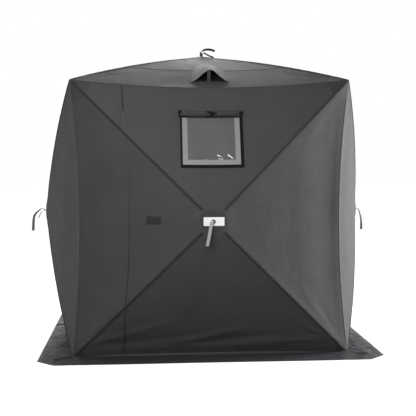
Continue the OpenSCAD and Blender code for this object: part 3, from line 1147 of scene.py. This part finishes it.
# The shorter tail of each strap, folded back at the hub.
FRONT_STUB = [
    (-0.002, -1.158, 0.894), (-0.008, -1.169, 0.885), (-0.022, -1.177, 0.862),
    (-0.038, -1.181, 0.832), (-0.05, -1.183, 0.806), (-0.06, -1.184, 0.781),
]
LEFT_STUB = [
    (-1.159, 0.006, 0.896), (-1.172, 0.01, 0.902), (-1.187, 0.012, 0.896), (-1.2, 0.012, 0.876),
    (-1.213, 0.012, 0.845),
]
RIGHT_STUB = [
    (1.159, -0.008, 0.896), (1.176, -0.012, 0.898), (1.196, -0.014, 0.884), (1.21, -0.014, 0.862),
    (1.219, -0.014, 0.835), (1.224, -0.014, 0.8), (1.226, -0.014, 0.763),
]
ROOF_STUB = [
    (0.002, -0.004, 2.032), (0.004, -0.006, 2.05), (0.014, -0.008, 2.059), (0.034, -0.01, 2.05),
    (0.06, -0.01, 2.036), (0.088, -0.01, 2.026),
]


def add_strap(name, route, width, across, turn, body, material, node):
    """A strap's tail along its route, its width turning towards `turn` on the way."""
    path = curve_through(route)
    share = np.linspace(0, 1, len(path))[:, None]
    ways = np.array(across) * (1 - share) + np.array(turn) * share
    made = swept(name, path, ways, width, 0.0016, material)
    if node:
        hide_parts(node)
    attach(made, body)


FRONT_HUB, LEFT_HUB, RIGHT_HUB, ROOF_HUB = (f"hub_{name}_body" for name in ("front", "left", "right", "roof"))
for name, route, width, across, turn, body, material, node in (
    ("strap_front_tail", FRONT_TAIL, 0.02, (1, 0, 0), (1, -0.15, 0.1), FRONT_HUB, STRAP, "strap_front"),
    ("strap_left_tail", LEFT_TAIL, 0.02, (0.2, 1, 0), (1, 0.3, 0), LEFT_HUB, GREY_STRAP, "strap_left"),
    ("strap_right_tail", RIGHT_TAIL, 0.02, (0.2, 1, 0), (1, 0.25, 0), RIGHT_HUB, DARK_STRAP, "strap_right"),
    ("strap_roof_tail", ROOF_TAIL, 0.02, (0.8, 0.5, 0.3), (0.1, 0.4, 1), ROOF_HUB, DARK_STRAP, "strap_roof"),
    ("strap_front_stub", FRONT_STUB, 0.008, (1, 0, 0), (1, -0.3, 0), FRONT_HUB, DARK_STRAP, None),
    ("strap_left_stub", LEFT_STUB, 0.01, (0, 1, 0), (0.6, 1, 0), LEFT_HUB, GREY_STRAP, None),
    ("strap_right_stub", RIGHT_STUB, 0.012, (0, 1, 0), (0.5, 1, 0), RIGHT_HUB, GREY_STRAP, None),
    ("strap_roof_stub", ROOF_STUB, 0.014, (0.8, 0.5, 0.3), (0.1, 0.5, 1), ROOF_HUB, DARK_STRAP, None),
):
    add_strap(name, route, width, across, turn, body, material, node)


# ---- Roof vent ----

VENT_MOUTH_Y = -0.75
VENT_LENGTH = 0.46
VENT_HALF = 0.122
VENT_RISE = 0.082
VENT_X = 0.006
VENT_FLANGE = 0.014


def flat_roof_v(y):
    """The flat place along the roof's middle line of a point at a world y."""
    v = np.linspace(-HALF_W, 0, 800)
    return float(np.interp(y, cloth_at(SIDES["roof"], np.zeros_like(v), v)[:, 1], v))


def add_vent():
    """The hood: a bell-shaped mouth that runs back to a point, and netting under it."""
    roof = SIDES["roof"]
    mouth = flat_roof_v(VENT_MOUTH_Y)
    rows, columns = 30, 32
    points, uv, faces = [], [], []
    for i in range(rows + 1):
        share = i / rows
        half = VENT_HALF * math.sqrt(max(1 - share**1.8, 0.0006))
        high = VENT_RISE * (1 - share) ** 0.85
        for j in range(columns + 1):
            x = 2 * j / columns - 1
            rounded = math.sqrt(x * x + 0.006)
            straight = (1 - rounded) / (1 - math.sqrt(0.006))
            shape = max(0.0, 0.3 * straight + 0.7 * (0.5 + 0.5 * math.cos(math.pi * x)))
            flutter = 0.0015 * math.sin(9 * x + 14 * share) * (1 - share)
            u, v = VENT_X + x * half, mouth + VENT_LENGTH * share - 0.012 * (1 - share) * shape
            points.append(cloth_at(roof, u, v, 0.002 + high * shape + flutter * shape))
            uv.append((u, v))
    for i in range(rows):
        for j in range(columns):
            a = i * (columns + 1) + j
            faces.append((a, a + 1, a + columns + 2, a + columns + 1))
    points, uv = np.array(points), np.array(uv)
    hood = thick_sheet("vent_hood_cloth", points, faces, -0.0014 * roof.n, FABRIC, uv)
    edge = curve_through(points[: columns + 1] + 0.0012 * roof.n, 2)
    rim = swept("rim", edge, [np.array([0, 1.0, 0.25])] * len(edge), 0.012, 0.0026, PATCH)
    flange = [tuple(p) for p in uv[:: columns + 1]] + [tuple(p) for p in uv[columns :: columns + 1][::-1]]
    wide = [(u + math.copysign(VENT_FLANGE, u), v) for u, v in flange]
    opening = [(u * 0.96, v) for u, v in flange[1:-1]]
    skirt = cloth_piece("flange", roof, wide, FABRIC, lift=0.0016, holes=[opening], step=0.01)
    made = join("vent_hood_cloth", [hood, rim, skirt])
    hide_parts("vent_hood")
    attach(made, "roof_front_panel_body")
    foot = cloth_at(roof, 0.0, mouth + 0.1)
    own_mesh(made)
    near, near_half = mouth + 0.012, VENT_HALF * 0.9
    far, far_half = mouth + 0.3, 0.07
    flat = [(-near_half, near), (near_half, near), (far_half, far), (-far_half, far)]
    netting = cloth_piece("vent_netting", roof, flat, NETTING, lift=0.0016, step=0.012)
    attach(netting, "roof_front_panel_body")


add_vent()


# ---- Snow skirt ----

SKIRT_CUT = 0.115  # how much its corners are cut off


def crumple(x, y):
    """The height of crumpled coated cloth that lies on the ground."""
    made = np.empty(len(x))
    for i, (a, b) in enumerate(zip(x, y)):
        total, size = 0.0, 1.0
        for scale in (7.0, 15.0, 32.0):
            ridge = 1 - 2 * abs(noise.noise(Vector((a * scale, b * scale, scale))))
            total += size * ridge * ridge
            size *= 0.5
        made[i] = total
    front = smooth((0.93 - np.abs(x)) / 0.3) * (y < -HALF_W + 0.1)
    return made * (0.0105 - 0.0098 * front)


def skirt_height(x, y):
    """The skirt's top skin above the ground."""
    reach = np.maximum(np.abs(x), np.abs(y))
    near = smooth((reach - HALF_W + 0.035) / 0.05)
    chamfer = (2 * SKIRT_OUT - SKIRT_CUT - np.abs(x) - np.abs(y)) / math.sqrt(2)
    from_rim = np.minimum(SKIRT_OUT - reach, chamfer)
    rise = crumple(x, y) * (0.15 + 0.85 * near) * (0.12 + 0.88 * smooth(from_rim / 0.035))
    for start, end, width, height in (
        ((-1.1, -HALF_W + 0.012), (1.1, -HALF_W + 0.012), 0.011, 0.012),
        ((-1.0, -HALF_W - 0.035), (1.05, -HALF_W - 0.04), 0.014, 0.006),
        ((-0.4, -1.09), (0.5, -1.08), 0.03, 0.003),
    ):
        rise = rise + crease(x, y, start, end, width, height)
    return 0.0018 + rise


def skirt_piece(name, outline, material, lift=0.0, holes=(), step=0.014):
    """A closed sheet of cloth on the skirt's surface, over a flat outline."""
    flat, faces = flat_mesh(outline, holes, step)
    x, y = flat.T
    top = np.stack([x, y, skirt_height(x, y) + lift], 1)
    return thick_sheet(name, top, faces, np.array([0, 0, -SKIN]), material, flat, slot="skirt")


def skirt_rim(reach):
    """One side of the skirt's outer rim, and half of each cut corner, at a distance from the middle."""
    cut, half = SKIRT_CUT, SKIRT_CUT / 2
    right = [(reach - half, half - reach), (reach - cut, -reach)]
    left = [(cut - reach, -reach), (half - reach, half - reach)]
    return right + left


def add_skirt():
    inner, outer, chamfer = HALF_W - 0.06, SKIRT_OUT - 0.002, SKIRT_CUT
    rim = skirt_rim(outer)
    strip = [(-inner, -inner), (inner, -inner), *rim]
    hem = [*rim, *skirt_rim(outer - 0.02)[::-1]]
    seam = [(inner, -inner), (outer - chamfer / 2, chamfer / 2 - outer),
        (outer - chamfer / 2 - 0.012, chamfer / 2 - outer - 0.012), (inner - 0.012, -inner - 0.012)]
    # The foot strip lays the wall's lighter cloth on the dark skirt along the wall's foot: a painted
    # highlight on the top of the fold where wall and skirt meet.
    near, beyond = HALF_W - 0.02, HALF_W + 0.006
    foot = [(-near, -near), (near, -near), (beyond, -beyond), (-beyond, -beyond)][::-1]
    grommets = [(sx * (SKIRT_OUT - 0.065), sy * (HALF_W + 0.06)) for sx in (-1, 1) for sy in (-1, 1)]
    parts = []
    for quarter in range(4):
        turn = Matrix.Rotation(quarter * math.pi / 2, 2)

        def turned_to(points):
            return [tuple(turn @ Vector(p)) for p in points]

        whole = turned_to(strip)
        own = [g for g in grommets if inside(np.array([g]), np.array(whole))[0]]
        holes = [circle(0.006, 12, g) for g in own]
        parts.append(skirt_piece("strip", whole, SKIRT, holes=holes))
        parts.append(skirt_piece("hem", turned_to(hem), SKIRT, lift=0.0014, step=0.012))
        parts.append(skirt_piece("seam", turned_to(seam), SKIRT, lift=0.0027, step=0.012))
        # Painted highlight: the lighter strip along the wall's foot.
        parts.append(skirt_piece("foot", turned_to(foot), FABRIC, lift=0.003, step=0.012))
    made = join("snow_skirt_cloth", parts)
    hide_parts("snow_skirt")
    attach(made, "shell")
    up = Side("ground", (0, 0, 0), (1, 0, 0), (0, 1, 0), 1, 0)
    rings = []
    for x, y in grommets:
        height = float(skirt_height(np.array([x]), np.array([y]))[0])
        rings.append(ring_piece("ring", np.array([x, y, height + 0.001]), up, 0.013, 0.006, 0.0018, TRIM))
    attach(join("skirt_grommets", rings), "shell")
    across_skirt = box_outline(-outer + 0.01, 0.19, -HALF_W + 0.02, 0.235)
    band = skirt_piece("skirt_band", across_skirt, BINDING, lift=0.0045, step=0.01)
    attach(band, "shell")


add_skirt()


# ---- Edge binding and corner pockets ----


def tube(name, path, radius, material, around=12):
    """A round closed tube along a path."""
    path = np.asarray(path, float)
    tangent = np.gradient(path, axis=0)
    tangent /= np.linalg.norm(tangent, axis=1, keepdims=True)
    points, uv, faces = [], [], []
    for i, (centre, way) in enumerate(zip(path, tangent)):
        first = np.cross(way, (0.31, 0.52, 0.8))
        first /= np.linalg.norm(first)
        second = np.cross(way, first)
        for k in range(around):
            turn = 2 * math.pi * k / around
            points.append(centre + radius * (first * math.cos(turn) + second * math.sin(turn)))
            uv.append((radius * turn, 0.01 * i))
    for i in range(len(path) - 1):
        for k in range(around):
            a, b = i * around + k, i * around + (k + 1) % around
            faces.append((a, b, b + around, a + around))
    faces.append(tuple(range(around))[::-1])
    faces.append(tuple(range((len(path) - 1) * around, len(path) * around)))
    return piece(name, points, faces, material, uv)


def edge_path(side, out, count=40):
    """Points along the outer edge of a panel, on the cloth."""
    along = np.linspace(-0.997, 0.997, count)
    if out[0]:
        return cloth_at(side, np.full(count, out[0] * side.half_u), along * side.half_v, -0.001)
    return cloth_at(side, along * side.half_u, np.full(count, out[1] * side.half_v), -0.001)


def add_binding():
    """The narrow folded binding where two sides meet, and where the walls meet the skirt."""
    roof = SIDES["roof"]
    walls = [SIDES[name] for name in ("front", "right", "back", "left")]
    parts = []
    for side in walls:
        next_wall = np.cross((0, 0, 1), side.n)
        lines = {(1, 0): next_wall - side.n, (0, 1): roof.n - side.n, (0, -1): -roof.n - side.n}
        for out, across in lines.items():
            path = edge_path(side, out)
            if out == (0, -1):
                path[:, 2] += 0.002
            parts.append(swept("binding", path, [across] * len(path), 0.006, 0.004, FABRIC))
    made = join("edge_binding", parts)
    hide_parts("edge_webbing")
    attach(made, "shell")


def add_pockets():
    """The sleeves inside the corners that the poles' tips sit in."""
    parts = []
    for side in SIDES.values():
        for sign_u in (-1, 1):
            for sign_v in (-1, 1):
                share = np.linspace(0.9, 0.972, 7)
                path = cloth_at(side, sign_u * share * side.half_u, sign_v * share * side.half_v, -PIN_DROP)
                parts.append(tube("pocket", path, 0.0095, BINDING))
    made = join("corner_pocket_sleeves", parts)
    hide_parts("corner_pockets")
    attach(made, "shell")


add_binding()
add_pockets()


# ---- Finishes of the CAD's own parts ----


def paint(prefix, material):
    """Gives every CAD node whose name starts so its material."""
    for name, node in frame["nodes"].items():
        if name.startswith(prefix):
            node.data.materials.clear()
            node.data.materials.append(material)


paint("pole_", ROD)
paint("hub_", HUB)
paint("zip_slider", TRIM)
paint("vent_strut", TRIM)


# ---- Light and floor ----


def add_world():
    """A white backdrop to the camera, and a soft even light to everything else."""
    world = bpy.data.worlds.new("studio")
    bpy.context.scene.world = world
    world.use_nodes = True
    tree = world.node_tree
    glow = tree.nodes["Background"]
    glow.inputs["Color"].default_value = (1, 1, 1, 1)
    glow.inputs["Strength"].default_value = AMBIENT
    white = tree.nodes.new("ShaderNodeBackground")
    white.inputs["Color"].default_value = (1, 1, 1, 1)
    white.inputs["Strength"].default_value = 1.0
    path = tree.nodes.new("ShaderNodeLightPath")
    mix = tree.nodes.new("ShaderNodeMixShader")
    tree.links.new(path.outputs["Is Camera Ray"], mix.inputs[0])
    tree.links.new(glow.outputs[0], mix.inputs[1])
    tree.links.new(white.outputs[0], mix.inputs[2])
    tree.links.new(mix.outputs[0], tree.nodes["World Output"].inputs["Surface"])


def add_light(name, towards, distance, size, level):
    """A soft light that faces the shelter. The level is what a facing white card would show."""
    target = Vector((0, 0, 1))
    place = target + Vector(towards).normalized() * distance
    data = bpy.data.lights.new(name, "AREA")
    data.shape = "RECTANGLE"
    data.size, data.size_y = size
    data.energy = level * (math.pi * distance) ** 2
    light = bpy.data.objects.new(name, data)
    bpy.context.scene.collection.objects.link(light)
    light.visible_camera = False
    aim = target - place
    light.matrix_world = Matrix.Translation(place) @ aim.to_track_quat("-Z", "Y").to_matrix().to_4x4()


def add_floor():
    """A pale floor that shows as white as the backdrop, and stays plain inside the shelter."""
    plain = Nodes("studio_floor_inside")
    bright = Nodes("studio_floor")
    for made in (plain, bright):
        made.set(Base_Color=(0.14, 0.14, 0.14, 1), Roughness=0.9, Specular_IOR_Level=0.0)
    bright.set(Emission_Color=(1, 1, 1, 1))
    path = bright.add("ShaderNodeLightPath")
    bright.link(path.outputs["Is Camera Ray"], bright.shader.inputs["Emission Strength"])
    near, far = HALF_W - 0.03, 30
    points = [(x * r, y * r, 0) for r in (near, far) for x, y in ((-1, -1), (1, -1), (1, 1), (-1, 1))]
    around = [(i, i + 4, (i + 1) % 4 + 4, (i + 1) % 4) for i in range(4)]
    piece("studio_floor", points, around, bright.material, smooth=False)
    piece("studio_floor_inside", points[:4], [(0, 1, 2, 3)], plain.material, smooth=False)


AMBIENT = 0.45
add_world()
add_floor()
add_light("right", (1, 0, 0.15), 5, (3, 3), 3.3)
add_light("above_behind", (0, 0.8, 0.6), 6.5, (4, 3), 1.7)
add_light("front", (-0.6, -3.2, 0.9), 3.4, (1.2, 1.2), 0.5)
add_light("left", (-1, 0.3, 0.1), 6, (3, 3), 0.6)

bpy.context.scene.view_settings.view_transform = "Standard"
